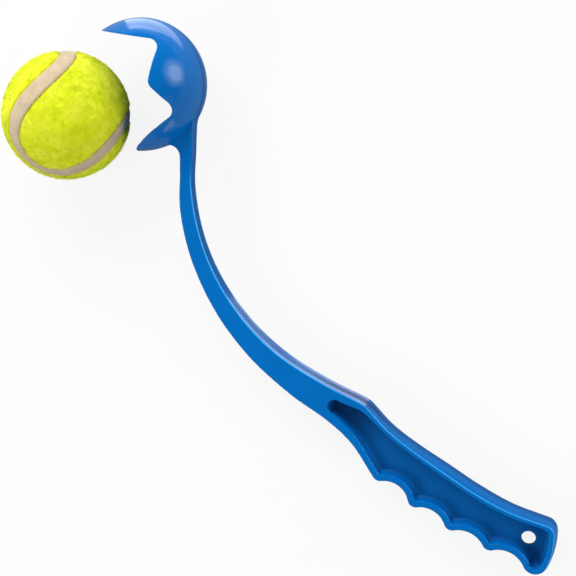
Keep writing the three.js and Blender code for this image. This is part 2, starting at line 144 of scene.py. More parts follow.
# Radii of the other edges
RECESS_EDGE = 0.45
HOLE_EDGE = 0.25
CUP_EDGE = 0.35
CUP_BORE_EDGE = CUP_EDGE * 0.7
CUP_BLEND = 0.5

# How far the moulding stands out beyond the CAD outline
SIDE_GROWTH = 0.2
MOUTH_GROWTH = 0.35
CUP_GROWTH = 0.3

# Painted shade in the tight ends of the recess, which hold less light: place, colour, and the distances from the
# place between which the painted shade fades
PAINTED_CORNER_SHADE = (
    ((205, -24, 0), (0.0, 0.045, 0.17), (5, 27.5)),
    ((327, 2, 0), (0.0, 0.06, 0.22), (3, 12)),
)

# A painted highlight lies along the rear edge from here on, in a line that is wider on the stem than on the palm
LIT_EDGE_FROM = (50, 62)
LIT_EDGE_NARROWS = (180, 206)
STEM_LINE = 0.4

# Where the mould was filled, in the flat frame
GATE_MARK = (203, -17.2, 2)

# Mesh of the moulding: its cells, the steps of its outline, the room round it, and how its points
# settle on the surface
CELL = 0.76
OUTLINE_STEP = 0.25
OUTLINE_LEAST_STEP = 0.02
SLOPE_REACH = 0.1
MESH_MARGIN = 1.1
POINT_STAYS = 0.08
POINT_MOVES_CELLS = 0.75
LEAST_STEEPNESS = 0.3

# Camera, in the thrower's flat frame
CAMERA_AT = (164.4, 192.6, 670.5)
CAMERA_RIGHT = (0.63574, 0.73133, -0.24700)
CAMERA_UP = (-0.77084, 0.61831, -0.15326)
CAMERA_LENS = 81.25
CAMERA_SHIFT = (-0.00056, 0.00071)

# Felt shell: its skin, and how it turns down at the seam
FELT_SHELL_RADIUS = 33.9
FELT_SEAM_GAP = 0.1
FELT_EDGE_DROP = 1.3
FELT_EDGE_ROLL = 1.6
FELT_LUMPS = ((0.14, 40), (0.084, 95))
FELT_ROUND = 256
FELT_RINGS = 90
FELT_INNER_RINGS = 6

# Nap: fibres that lie over in tufts, and a few loose ones that stand off
FIBRES = 46000
ROOTS_DRAWN = 2.7
NAP_STARTS = 0.25
NAP_OFF_FLOOR = 0.1
FIBRE_LENGTH = (0.8, 1.8)
FIBRE_WIDTH = (0.08, 0.16)
FIBRE_ROOT_DEPTH = 0.4
FIBRE_RISE = 0.7
FIBRE_RISE_SPREAD = 0.14
FIBRE_CURL = 0.35
FIBRE_TWIST = 0.5
FIBRE_BEND = (0.75, 0.38)
FIBRE_BEND_WIDTH = 0.8
FIBRE_TIP = 0.9
FIBRE_SHORT_OVER = (0.2, 1.6)
RISE_AT_SEAM = 0.3
LENGTH_AT_SEAM = 0.4
TUFT_WAVES = 75
TUFT_RISE = 0.22
LEAN_WAVES = 55
LEAN_SHARES = (1.2, 0.8)
LOOSE_SHARE = 0.07
LOOSE_RISE = (0.2, 0.8)
LOOSE_LONGER = 1.5
LOOSE_TIP = 0.6

# Flat map of the felt: its skin in the middle, its inside in a corner, and each fibre's own patch
MAP_MIDDLE = 0.5
MAP_REACH = 0.68
MAP_CORNER = 0.07
MAP_CORNER_REACH = 0.08
FIBRE_PATCH = 0.0022 * np.array([(0, 0), (1, 0), (1, 1), (0, 1), (0.5, 1.6)])

# Seam: wider on one side of the ball, moved over, and its profile
SEAM_WIDER = (1.9, 75)
SEAM_SHIFT = 1.1
SEAM_PULL = (2.4, 45, 24)
SEAM_STEPS = 360
SEAM_STEPS_TO_MEASURE = 720
SEAM_ACROSS = 13
SEAM_SHOULDER = 0.45
SEAM_SHOULDER_POWER = 6
SEAM_CROWN = 0.12
SEAM_ROUGH = 0.05
SEAM_ROUGH_WAVES = 60
SEAM_SEED = 5

# Blue plastic: colours, glossiness, and distances from the middle plane or the edge
BLUES = ((0.3, (0.0, 0.147, 0.505)), (0.7, (0.0, 0.158, 0.535)))
# Painted shade down in the recess: how dark it makes the blue, and the distances from the middle plane over which
# it fades
PAINTED_RECESS_SHADE = 0.72
PAINTED_RECESS_SHADE_FADES = (1.8, 3.75)
# Painted shade in the tight ends of the recess is full up to the first distance from the middle plane and gone
# from the second
CORNER_SHADED = (2.5, 3.75)
# Painted highlight along the rear edge: its colour, its share, and the distances beside and below the edge over
# which it fades
PAINTED_HIGHLIGHT_COLOUR = (0.05, 0.45, 1.0)
PAINTED_HIGHLIGHT_SHARE = 0.85
LIT_EDGE_BESIDE = (0.3, 0.55)
LIT_EDGE_BELOW = (0.25, 0.5)
GATE_COLOUR = (0.0, 0.05, 0.19)
GATE_FADES = (0.44, 0.72)
DULL_INSIDE = ((0.3, 0.5), (0.75, 0.6))
GLOSSY_OUTSIDE = ((0.3, 0.13), (0.75, 0.18))
DULL_FADES = (2.5, 4.5)
PARTING_LINE = (0.08, 0.2)
PARTING_STARTS = (48, 52)

# Ball's materials: colours along a noise from 0 to 1
FELT_TONES = ((0.35, (0.66, 0.76, 0.006)), (0.46, (0.86, 0.93, 0.012)), (0.58, (0.95, 0.98, 0.07)))
FELT_SHEEN = (0.95, 1.0, 0.6)
SEAM_TONES = ((0.3, (0.56, 0.44, 0.295)), (0.7, (0.66, 0.53, 0.37)))
SPECK_COLOUR = (0.16, 0.11, 0.07)
CORE_TONES = ((0.3, (0.032, 0.032, 0.036)), (0.7, (0.05, 0.05, 0.056)))

# Studio floor and sky: what the object sees of them, and what the camera sees
FLOOR_SIDE = 6
FLOOR_COLOUR = (0.3, 0.3, 0.3)
FLOOR_SEEN = (0.8, 0.8, 0.8)
FLOOR_GLOW = 0.87
FLOOR_WHITE_FROM = (0.8, 1.7)
SKY = 0.05

# Softboxes: azimuth from +X towards +Y, elevation, size in metres and brightness. The fills
# leave no highlight, and each window stands a step in front of the last.
LIGHT_DISTANCE = 1.2
WINDOW_STEP = 0.03
FILLS = {
    "front": (-100, 34, (1.1, 0.5), 5.0),
    "key": (162, 37, (1.1, 0.7), 5.9),
    "hand_side": (15, 20, (0.7, 0.6), 4.7),
    "palm_side": (115, 16, (0.7, 0.4), 1.6),
}
WINDOWS = {
    "window_glow": (71, 18, (0.9, 0.9), 1.3),
    "window": (71, 18, (0.54, 0.54), 2.8),
}

# Panels that lie on the floor and face up: place, azimuth, size and brightness. A glint only shows
# as a highlight.
LOW_PANELS = {
    "low_near": ((-0.295, 0.154, 0.001), 155, (0.26, 0.13), 1.9),
    "low_far": ((-0.340, 0.175, 0.002), 155, (0.155, 0.13), 1.5),
}
LOW_GLINTS = {
    "low_by_stem": ((0.017, 0.009, 0.0014), 9, (0.092, 0.034), 1.15),
}


# Frame: where the flat thrower and the ball lie on the floor

def ball_centre():
    """The middle of the two core halves, in metres."""
    corners = [corner for half in CORE_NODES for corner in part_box(half)]
    lowest = Vector(map(min, *corners))
    highest = Vector(map(max, *corners))
    return (lowest + highest) / 2


def flat_to_row():
    """The matrix from the thrower's flat frame in millimetres to the row frame in metres."""
    seat = next(joint for joint in frame["joints"] if joint["name"] == "ball_seat")
    mount = next(m for m in frame["record"]["mounts"] if m["name"] == "hang_hole_face")
    cup_centre = ball_centre() + Vector(seat["axis"]) * seat["range_m"][1]
    across = Vector(mount["axis"]).normalized()
    mount_flat = Vector(HANG_HOLE[0]) + Vector(MOUNT_FROM_HOLE)
    way = Vector(mount["pos_m"]) - cup_centre
    way -= across * way.dot(across)
    aside = across.cross(way)
    along = (way * mount_flat.x - aside * mount_flat.y).normalized()
    turn = Matrix((along, across.cross(along), across)).transposed()
    return Matrix.Translation(cup_centre) @ turn.to_4x4() @ Matrix.Scale(MM, 4)


# Vectors and plane curves

def unit(vectors):
    return vectors / np.linalg.norm(vectors, axis=-1, keepdims=True)


def smoothstep(x, low, high, start=0, end=1):
    t = np.clip((x - low) / (high - low), 0, 1)
    return start + (end - start) * (t * t * (3 - 2 * t))


def polar(centre, radius, angle):
    return np.array([centre[0] + radius * math.cos(angle), centre[1] + radius * math.sin(angle)])


def arc_between(centre, start, end, turn):
    """An arc about centre from start to end, anticlockwise where turn is 1."""
    radius = np.linalg.norm(start - centre)
    first = math.atan2(*(start - centre)[::-1])
    last = math.atan2(*(end - centre)[::-1])
    while turn * (last - first) < 0:
        last += turn * 2 * math.pi
    count = max(3, math.ceil(abs(last - first) * radius / OUTLINE_STEP))
    return [polar(centre, radius, angle) for angle in np.linspace(first, last, count + 1)]


def smooth_curve(points):
    """A centripetal Catmull-Rom curve through the points, in steps of about OUTLINE_STEP."""
    points = np.array(points, float)
    points = [2 * points[0] - points[1], *points, 2 * points[-1] - points[-2]]
    curve = []
    for p0, p1, p2, p3 in zip(points, points[1:], points[2:], points[3:]):
        d0, d1, d2 = (math.sqrt(np.linalg.norm(b - a)) for a, b in ((p0, p1), (p1, p2), (p2, p3)))
        leave = ((p1 - p0) / d0 - (p2 - p0) / (d0 + d1) + (p2 - p1) / d1) * d1
        arrive = ((p2 - p1) / d1 - (p3 - p1) / (d1 + d2) + (p3 - p2) / d2) * d1
        count = max(2, math.ceil(np.linalg.norm(p2 - p1) / OUTLINE_STEP))
        for t in np.arange(count) / count:
            curve.append(p1 + leave * t + (3 * (p2 - p1) - 2 * leave - arrive) * t ** 2
                         + (2 * (p1 - p2) + leave + arrive) * t ** 3)
    return curve + [points[-2]]


def lengths_along(points):
    """The length of the way along the points to each of them."""
    return np.concatenate([[0], np.cumsum(np.linalg.norm(np.diff(points, axis=0), axis=1))])


def line_between(start, end):
    count = max(1, math.ceil(np.linalg.norm(np.subtract(end, start)) / OUTLINE_STEP))
    return [np.asarray(start) + np.subtract(end, start) * t for t in np.arange(count + 1) / count]


def rounded_corner(before, corner, after, radius):
    back = unit(np.subtract(before, corner))
    on = unit(np.subtract(after, corner))
    half = math.acos(back @ on) / 2
    centre = corner + unit(back + on) * radius / math.sin(half)
    reach = radius / math.tan(half)
    turn = -np.sign(back[0] * on[1] - back[1] * on[0])
    return arc_between(centre, corner + back * reach, corner + on * reach, turn)


def circles_meet(a, radius_a, b, radius_b, side):
    """Where two circles meet: side 1 is to the right of the way from a to b."""
    apart = np.linalg.norm(b - a)
    way = (b - a) / apart
    along = (radius_a ** 2 - radius_b ** 2 + apart ** 2) / (2 * apart)
    off = math.sqrt(radius_a ** 2 - along ** 2)
    return a + way * along + np.array([way[1], -way[0]]) * off * side


def cup_fillet(edge, radius, side):
    """A fillet between the cup's sphere and the straight start of a stem edge."""
    way = unit(np.subtract(edge[1], edge[0]))
    out = np.array([way[1], -way[0]]) * side
    reach = CUP_RADIUS + radius
    height = out @ edge[0] + radius
    centre = out * height + way * math.sqrt(reach ** 2 - height ** 2)
    on_edge = centre - out * radius
    on_cup = centre * CUP_RADIUS / reach
    ends = (on_cup, on_edge) if side > 0 else (on_edge, on_cup)
    return arc_between(centre, *ends, -1)


# Side outline of the stem and grip, anticlockwise from the cup, in named stretches

def touch(round_, link):
    """Where a round, as centre and radius, meets a linking arc, as centre and side."""
    return round_[0] + unit(link[0] - round_[0]) * round_[1] * link[1]


def hand_rounds():
    """The rounds of the hand end, finger bumps first, and the arc that links each to the next."""
    bumps = [(at, FINGER_BUMP_RADIUS) for at in FINGER_BUMPS]
    rounds = [(np.asarray(at, float), radius) for at, radius in (*bumps, TOE, HEEL_CORNER)]
    links = [
        (circles_meet(a[0], a[1] + radius, b[0], b[1] + radius, 1), 1)
        for radius, a, b in zip(SCALLOP_RADII, rounds, rounds[1:])
    ]
    toe, corner = rounds[-2:]
    heel_centre = circles_meet(toe[0], HEEL_RADIUS - toe[1], corner[0], HEEL_RADIUS - corner[1], -1)
    return rounds, [*links, (heel_centre, -1)]


def hand_end():
    """The stretches round the fingers, the toe, the heel and the corner where the palm starts."""
    rounds, links = hand_rounds()
    arcs = []
    begin = polar(*rounds[0], math.radians(FINGERS_START_DEGREES))
    for this, link, following in zip(rounds, links, rounds[1:]):
        leave, arrive = touch(this, link), touch(following, link)
        arcs.append(arc_between(this[0], begin, leave, 1))
        arcs.append(arc_between(link[0], leave, arrive, -link[1]))
        begin = arrive
    *fingers, toe, heel = arcs
    palm_end = polar(*rounds[-1], math.radians(PALM_ENDS_DEGREES))
    corner = arc_between(rounds[-1][0], begin, palm_end, 1)
    return {"fingers": sum(fingers, []), "toe": toe, "heel": heel, "corner": corner}


def side_stretches():
    gusset = cup_fillet(STEM_FRONT, GUSSET_FILLET, 1)
    rear_fillet = cup_fillet(STEM_REAR, REAR_FILLET, -1)
    hand = hand_end()
    peak = np.asarray(THUMB_PEAK, float)
    before, after = (
        peak + unit(np.subtract(point, peak)) * THUMB_ROUNDING
        for point in (STEM_REAR[-1], PALM_LINE[0]))
    thumb = [after * (1 - t) ** 2 + peak * 2 * t * (1 - t) + before * t ** 2
             for t in np.linspace(0, 1, THUMB_STEPS)]
    return {
        "gusset": line_between((0, 0), gusset[0]) + gusset,
        "front": smooth_curve([gusset[-1], *STEM_FRONT, GRIP_NECK, hand["fingers"][0]]),
        **hand,
        "palm": smooth_curve([hand["corner"][-1], *reversed(PALM_LINE), after]),
        "thumb": thumb,
        "rear": smooth_curve([before, *reversed(STEM_REAR), rear_fillet[0]]),
        "rear_fillet": rear_fillet + line_between(rear_fillet[-1], (0, 0)),
    }


class Outline:
    """A closed curve of many short steps, with values that run along it."""

    STRIDE = 12
    SPOTS_AT_ONCE = 20000

    def __init__(self, points, values=None):
        points = np.asarray(points, float)
        values = np.zeros((len(points), 1)) if values is None else np.asarray(values, float)
        keep = np.linalg.norm(points - np.roll(points, 1, axis=0), axis=1) > OUTLINE_LEAST_STEP
        points, values = points[keep], values[keep]
        closed = np.concatenate([points, points[:1]])
        length = lengths_along(closed)
        count = self.STRIDE * math.ceil(length[-1] / OUTLINE_STEP / self.STRIDE)
        spots = np.arange(count) * length[-1] / count
        self.points = np.stack([np.interp(spots, length, column) for column in closed.T], axis=1)
        self.values = np.stack(
            [np.interp(spots, length[:-1], column) for column in values.T], axis=1)
        side = np.roll(self.points, -1, axis=0) - self.points
        normal = unit(np.stack([side[:, 1], -side[:, 0]], axis=1))
        self.normals = normal + np.roll(normal, 1, axis=0)

    def near(self, x, y):
        """Signed distance to the curve, below zero inside, and the curve's values there."""
        spots = np.stack([np.ravel(x), np.ravel(y)], axis=1)
        distance = np.empty(len(spots))
        values = np.empty((len(spots), self.values.shape[1]))
        for first in range(0, len(spots), self.SPOTS_AT_ONCE):
            part = slice(first, first + self.SPOTS_AT_ONCE)
            distance[part], values[part] = self._near(spots[part])
        return distance.reshape(np.shape(x)), [v.reshape(np.shape(x)) for v in values.T]

    def _near(self, spots):
        coarse = self.points[::self.STRIDE]
        apart = (spots[:, :1] - coarse[:, 0]) ** 2 + (spots[:, 1:] - coarse[:, 1]) ** 2
        window = np.arange(-self.STRIDE - 2, self.STRIDE + 2)
        index = (apart.argmin(axis=1) * self.STRIDE)[:, None] + window
        a, b = index % len(self.points), (index + 1) % len(self.points)
        side = self.points[b] - self.points[a]
        offset = spots[:, None] - self.points[a]
        t = np.clip((offset * side).sum(-1) / (side * side).sum(-1), 0, 1)
        miss = ((offset - side * t[..., None]) ** 2).sum(-1)
        best = miss.argmin(axis=1)
        row = np.arange(len(spots))
        a, b, t = a[row, best], b[row, best], t[row, best][:, None]
        nearest = self.points[a] * (1 - t) + self.points[b] * t
        normal = self.normals[a] * (1 - t) + self.normals[b] * t
        outside = ((spots - nearest) * normal).sum(-1)
        distance = np.sqrt(miss[row, best]) * np.where(outside < 0, -1, 1)
        return distance, self.values[a] * (1 - t) + self.values[b] * t


def crown_at(distance):
    """The rise of the palm's crown at a distance along the palm, from its hand end."""
    over = np.where(distance < CROWN_AT, CROWN_RISE_OVER, CROWN_FALL_OVER)
    phase = np.clip((distance - CROWN_AT) / over, -1, 1)
    return CROWN_LEAST + CROWN_SWELL * np.cos(phase * math.pi / 2) ** 2


def side_outline():
    """The side outline with, along it, the crown's rise, the edge's radius and the recess's rim."""
    points, values, crowned = [], [], []
    for name, stretch in side_stretches().items():
        crown, edge, (rim_start, rim_end, first, last) = STRETCHES[name]
        rims = smoothstep(np.array(stretch)[:, 0], first, last, rim_start, rim_end)
        points += stretch
        values += [(0, edge, rim) for rim in rims]
        crowned += [crown] * len(stretch)
    values = np.array(values)
    places = np.nonzero(crowned)[0][::-1]
    values[places, 0] = crown_at(lengths_along(np.array(points)[places]))
    return Outline(points, values)


def mouth_outline():
    """The outline of what the cup lacks, seen from the side: its mouth between the two tips."""
    corners = (UPPER_NOTCH, SIDE_LOBE, LOWER_NOTCH)

    def past_tip(degrees, corner):
        tip = polar((0, 0), CUP_RADIUS, math.radians(degrees))
        return tip + unit(tip - corner[0]) * CUP_RADIUS

    start = past_tip(UPPER_TIP_DEGREES, corners[0])
    end = past_tip(LOWER_TIP_DEGREES, corners[-1])
    cut = [start, *(at for at, _ in corners), end]
    path = [start]
    for before, (at, radius), after in zip(cut, corners, cut[2:]):
        path += rounded_corner(before, at, after, radius)
    below = min(start[1], end[1]) - 2 * CUP_RADIUS
    path += [end, (end[0], below), (start[0], below), start]
    path.reverse()
    return Outline([p for a, b in zip(path, path[1:]) for p in line_between(a, b)[:-1]])


# Solids as signed distances, below zero inside, in millimetres

def both(a, b, radius):
    """Where both solids are, with the edge between them rounded."""
    corner = np.hypot(np.maximum(radius + a, 0), np.maximum(radius + b, 0))
    return np.minimum(-radius, np.maximum(a, b)) + corner


def either(a, b, radius):
    return -both(-a, -b, radius)


def half_width_at(x):
    """Half the width of the stem and grip, which flares from the cup to the hand."""
    stem = smoothstep(x, *STEM_FLARE, STEM_WIDTH_AT_CUP, STEM_WIDTH_AT_GRIP)
    return (stem + smoothstep(x, *GRIP_FLARE, 0, GRIP_WIDTH - STEM_WIDTH_AT_GRIP)) / 2


PlaneFields = namedtuple("PlaneFields", "side crown edge pocket mouth hole half")


class Moulding:
    """The thrower as one signed distance."""

    def __init__(self):
        self.side = side_outline()
        self.mouth = mouth_outline()
        self.recess_end = self._recess_end()

    def _recess_end(self):
        """The middle and radius of the round end of the recess, and the way it faces."""
        points, values = self.side.points, self.side.values
        runs_back = np.roll(points, -1, axis=0)[:, 0] < points[:, 0]
        inner = []
        for rim, rear in ((RIM_FRONT, False), (RIM_REAR, True)):
            from_start = np.where(runs_back == rear, np.abs(points[:, 0] - rim[2]), np.inf)
            place = from_start.argmin()
            inner.append(points[place] - unit(self.side.normals[place]) * values[place, 2])
        middle = (inner[0] + inner[1]) / 2
        across = inner[1] - inner[0]
        radius = np.linalg.norm(across) / 2
        return middle, radius, np.array([across[1], -across[0]]) / (2 * radius)

    def plane_fields(self, x, y):
        """What depends on X and Y alone."""
        side, (crown, edge, rim) = self.side.near(x, y)
        mouth, _ = self.mouth.near(x, y)
        middle, radius, faces = self.recess_end
        beyond = (x - middle[0]) * faces[0] + (y - middle[1]) * faces[1]
        end = np.hypot(x - middle[0], y - middle[1]) - radius
        pocket = np.where(beyond > 0, side + rim, end)
        hole = HANG_HOLE[1] - np.hypot(x - HANG_HOLE[0][0], y - HANG_HOLE[0][1])
        return PlaneFields(side, crown, edge, pocket, mouth, hole, half_width_at(x))

    def distance(self, x, y, z, fields=None):
        """Signed distance at places, with the fields of their X and Y where these are at hand."""
        at = fields or self.plane_fields(x, y)
        across = np.abs(z)
        from_cup = np.sqrt(x * x + y * y + z * z)
        body = either(self._block(at, across), self._cap(at, x, y, from_cup), CUP_BLEND)
        body = both(body, BALL_CLEAR_RADIUS + CUP_GROWTH - from_cup, CUP_BORE_EDGE)
        narrowing = (at.half - across) * RECESS_DRAFT
        hollow = both(at.pocket + narrowing, WEB / 2 - across, FLOOR_FILLET)
        body = both(body, -hollow, RECESS_EDGE)
        return both(body, at.hole - SIDE_GROWTH, HOLE_EDGE)

    def _block(self, at, across):
        """The stem and grip, filled, with the palm's crown arched from side to side."""
        arch_half = at.half - CROWN_LEDGE
        rise = np.maximum(at.crown, 1e-3)
        radius = (arch_half ** 2 + rise ** 2) / (2 * rise)
        arch = np.sqrt(np.maximum(radius ** 2 - across ** 2, 0)) - radius + rise
        swell = np.where(across < arch_half, np.maximum(arch, 0), 0)
        return both(at.side - SIDE_GROWTH - swell, across - at.half, at.edge)

    def _cap(self, at, x, y, from_cup):
        """The cup, filled, thinner towards its upper tip."""
        angle = np.degrees(np.arctan2(y, x))
        thinning = TIP_THINNING * smoothstep(np.maximum(angle, 0), *TIP_THINS)
        return both(from_cup - CUP_RADIUS - CUP_GROWTH + thinning, -at.mouth - MOUTH_GROWTH, CUP_EDGE)

    def rear_edge(self, points):
        """Distances to the side outline and to the side face, and 1 along the rear: where the painted edge
        highlight goes.
        """
        x, y, z = points.T
        here = self.plane_fields(x, y)
        outwards = self.plane_fields(x, y + SLOPE_REACH).side > here.side
        along = outwards * smoothstep(x, *LIT_EDGE_FROM)
        narrower = smoothstep(x, *LIT_EDGE_NARROWS, STEM_LINE)
        return np.stack([here.side - SIDE_GROWTH, (here.half - np.abs(z)) * narrower, along], axis=1)

    def slope(self, points):
        """The distance and its gradient at many points."""
        x, y, z = points.T
        fields = self.plane_fields(x, y)
        here = self.distance(x, y, z, fields)
        ahead = (self.distance(x + SLOPE_REACH, y, z), self.distance(x, y + SLOPE_REACH, z),
                 self.distance(x, y, z + SLOPE_REACH, fields))
        return here, np.stack([(value - here) / SLOPE_REACH for value in ahead], axis=1)


# Mesh of a signed distance: one vertex in each cell that the surface crosses, drawn to its edges

def crossed_edges(value, lowest, cell):
    """Where the surface crosses each edge of the grid, the four cells round that edge, and whether
    the edge leads out of the solid."""
    inside = value < 0
    cells = np.array(value.shape) - 1
    step = np.eye(3, dtype=int)
    crossings, cell_of, outwards = [], [], []
    for axis in range(3):
        spot = np.argwhere(np.diff(inside, axis=axis))
        ahead = spot + step[axis]
        a, b = value[tuple(spot.T)], value[tuple(ahead.T)]
        place = spot.astype(float)
        place[:, axis] += a / (a - b)
        crossings.append(lowest + cell * place)
        left, down = step[axis - 2], step[axis - 1]
        ring = (spot, spot - left, spot - left - down, spot - down)
        cell_of.append(np.stack([np.ravel_multi_index(c.T, cells) for c in ring], axis=1))
        outwards.append(a < 0)
    return np.concatenate(crossings), np.concatenate(cell_of), np.concatenate(outwards)


def cell_points(crossings, slope, corner, count, cell):
    """One point in each cell, as near as it gets to the planes through the crossings round it."""
    owner = corner.ravel()
    gather = np.repeat(np.arange(len(crossings)), 4)

    def summed(weights):
        return np.bincount(owner, weights=weights, minlength=count)

    total = np.bincount(owner, minlength=count)
    middle = np.stack([summed(crossings[gather, k]) / total for k in range(3)], axis=1)
    offset = (slope * crossings).sum(1)[gather] - (slope[gather] * middle[owner]).sum(1)
    pull = np.stack([summed(slope[gather, i] * offset) for i in range(3)], axis=1)
    matrix = np.empty((count, 3, 3))
    for i in range(3):
        for j in range(3):
            matrix[:, i, j] = summed((slope[:, i] * slope[:, j])[gather])
    matrix += np.eye(3) * POINT_STAYS
    shift = np.linalg.solve(matrix, pull[..., None])[..., 0]
    length = np.maximum(np.linalg.norm(shift, axis=1), 1e-9)
    return middle + shift * np.minimum(1, POINT_MOVES_CELLS * cell / length)[:, None]


def surface_mesh(solid, lowest, highest, cell):
    """Points, quads and normals of the surface at which the solid's distance is zero."""
    axes = [low + cell * np.arange(math.ceil((high - low) / cell) + 1)
            for low, high in zip(lowest, highest)]
    x, y, z = np.meshgrid(*axes, indexing="ij", sparse=True)
    value = solid.distance(*np.broadcast_arrays(x, y), z)
    crossings, cell_of, outwards = crossed_edges(value, lowest, cell)
    used, corner = np.unique(cell_of, return_inverse=True)
    corner = corner.reshape(cell_of.shape)
    slope = unit(solid.slope(crossings)[1])
    points = cell_points(crossings, slope, corner, len(used), cell)
    for _ in range(2):
        height, gradient = solid.slope(points)
        steepness = np.maximum((gradient ** 2).sum(1), LEAST_STEEPNESS)
        points = points - gradient * (height / steepness)[:, None]
    quads = np.where(outwards[:, None], corner, corner[:, ::-1])
    return points, quads, unit(solid.slope(points)[1])


def new_object(name, points, faces, material, normals=None):
    """A mesh object from points in metres in the row frame, its faces smooth-shaded."""
    mesh = bpy.data.meshes.new(name)
    mesh.from_pydata(points, (), faces, shade_flat=False)
    if normals is not None:
        mesh.normals_split_custom_set_from_vertices(normals)
    mesh.materials.append(material)
    obj = bpy.data.objects.new(name, mesh)
    bpy.context.scene.collection.objects.link(obj)
    return obj


def point_attribute(obj, name, values):
    """Keep a number, or three, on each of the object's points for its material."""
    kind, field = ("FLOAT", "value") if np.ndim(values) == 1 else ("FLOAT_VECTOR", "vector")
    attribute = obj.data.attributes.new(name, kind, "POINT")
    attribute.data.foreach_set(field, np.ravel(values).astype(np.float32))


def row_points(points, matrix, lowest=0.0):
    """Points moved to the row frame, none of them lower than the lowest height in millimetres."""
    matrix = np.array(matrix)
    placed = points @ matrix[:3, :3].T + matrix[:3, 3]
    placed[:, 2] = np.maximum(placed[:, 2], lowest * MM)
    return placed


def stand_for(obj, node, body):
    """Show the piece in place of a CAD node, on that node's body."""
    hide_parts(node)
    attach(obj, body)


# Ball: the seam's curve on the unit sphere, and what lies beside it

def seam_direction(angle):
    wide = 1 - SEAM_WAVE
    return np.stack([
        wide * np.cos(angle) + SEAM_WAVE * np.cos(3 * angle),
        wide * np.sin(angle) - SEAM_WAVE * np.sin(3 * angle),
        2 * math.sqrt(wide * SEAM_WAVE) * np.sin(2 * angle)], axis=-1)


def seam_frames(count, half_turn=False):
    """Directions along the seam, evenly spaced, the way aside from each towards +Z, and the seam's
    half width there. The felt has drawn the seam wider on one side of the ball."""
    angle = np.linspace(0, 2 * math.pi, 8 * count)
    fine = seam_direction(angle)
    length = lengths_along(fine)
    angle = np.interp(np.arange(count) * length[-1] / count, length, angle)
    on = seam_direction(angle)
    along = unit(seam_direction(angle + 1e-4) - seam_direction(angle - 1e-4))
    aside = np.cross(on, along)
    place = np.degrees(math.pi - angle if half_turn else angle)
    wider, widest_at = SEAM_WIDER
    half = SEAM_WIDTH / 2 + wider * (0.5 + 0.5 * np.cos(np.radians(place - widest_at)))
    pull, pull_at, pull_over = SEAM_PULL
    from_pull = (place - pull_at + 180) % 360 - 180
    shift = SEAM_SHIFT + pull * np.exp(-(from_pull / pull_over) ** 2)
    return beside(on, aside, shift if half_turn else -shift), aside, half


def beside(on, aside, distance):
    """Directions moved aside by a distance on the ball's surface."""
    turn = np.asarray(distance) / BALL_RADIUS
    return on * np.cos(turn)[..., None] + aside * np.sin(turn)[..., None]


def past_seam(directions, half_turn):
    """How far each direction lies past the seam's edge on the ball's surface, towards +Z."""
    on, aside, half = seam_frames(SEAM_STEPS_TO_MEASURE, half_turn)
    nearest = np.concatenate([(part @ on.T).argmax(axis=1) for part in np.array_split(directions, 8)])
    apart = np.arccos(np.clip((directions * on[nearest]).sum(-1), -1, 1)) * BALL_RADIUS
    return np.where((directions * aside[nearest]).sum(-1) > 0, apart, -apart) - half[nearest]


def ball_matrix(half_turn=False):
    x, y, z = (math.radians(a) for a in BALL_TURN_DEGREES)
    turn = Matrix.Rotation(x, 4, "X") @ Matrix.Rotation(y, 4, "Y") @ Matrix.Rotation(z, 4, "Z")
    if half_turn:
        turn = turn @ Matrix.Rotation(math.pi, 4, "Y")
    return Matrix.Translation(ball_centre()) @ turn @ Matrix.Scale(MM, 4)


def ripples(directions, seed, waves, count=40):
    """A smooth random field over the sphere, about -1 to 1, from waves of about one size."""
    chance = np.random.default_rng(seed)
    ways = unit(chance.normal(size=(count, 3))) * chance.uniform(0.7, 1.3, (count, 1)) * waves
    phases = chance.uniform(0, 2 * math.pi, count)
    return np.sin(directions @ ways.T + phases).sum(-1) / math.sqrt(count / 2) * 0.7


def felt_shell(seed, half_turn):
    """The panel under the nap: outer skin, edge turned down into the seam, and inner skin."""
    on, aside, half = seam_frames(FELT_ROUND, half_turn)
    edge = beside(on, aside, half + FELT_SEAM_GAP)
    middle = np.array([0.0, 0.0, 1.0])
    reach = np.arccos(edge @ middle)
    out = unit(edge * (1, 1, 0))
    outer = spread_rings(middle, out, reach, np.linspace(0, 1, FELT_RINGS + 1)[1:])
    inner = spread_rings(middle, out, reach, np.linspace(1, 0, FELT_INNER_RINGS + 1)[:-1])
    border = past_seam(outer.reshape(-1, 3), half_turn).reshape(outer.shape[:2])
    drop = FELT_EDGE_DROP * (1 - smoothstep(border, 0, FELT_EDGE_ROLL)) ** 2
    lumps = sum(rise * ripples(outer, seed + k, waves) for k, (rise, waves) in enumerate(FELT_LUMPS))
    skin = outer * (FELT_SHELL_RADIUS + lumps - drop)[..., None]
    points = np.concatenate([
        middle[None] * FELT_SHELL_RADIUS, skin.reshape(-1, 3),
        (inner * FELT_INSIDE_RADIUS).reshape(-1, 3), middle[None] * FELT_INSIDE_RADIUS])
    on_map = MAP_MIDDLE + MAP_REACH * flattened(points)
    inside = slice(1 + FELT_RINGS * FELT_ROUND, None)
    on_map[inside] = MAP_CORNER + MAP_CORNER_REACH * flattened(points[inside])
    return points, ring_faces(FELT_RINGS + FELT_INNER_RINGS, FELT_ROUND), on_map


def flattened(points):
    """Each direction's place on a flat map of the ball about +Z, -1 to 1."""
    ways = unit(points)
    angle = np.arccos(np.clip(ways[:, 2], -1, 1))
    flat = ways[:, :2] / np.maximum(np.linalg.norm(ways[:, :2], axis=1, keepdims=True), 1e-9)
    return flat * (angle / math.pi)[:, None]


def spread_rings(middle, out, reach, spread):
    """Directions on rings round the middle, each ring a share of the way to its outer reach."""
    angle = spread[:, None] * reach[None]
    return out[None] * np.sin(angle)[..., None] + middle * np.cos(angle)[..., None]


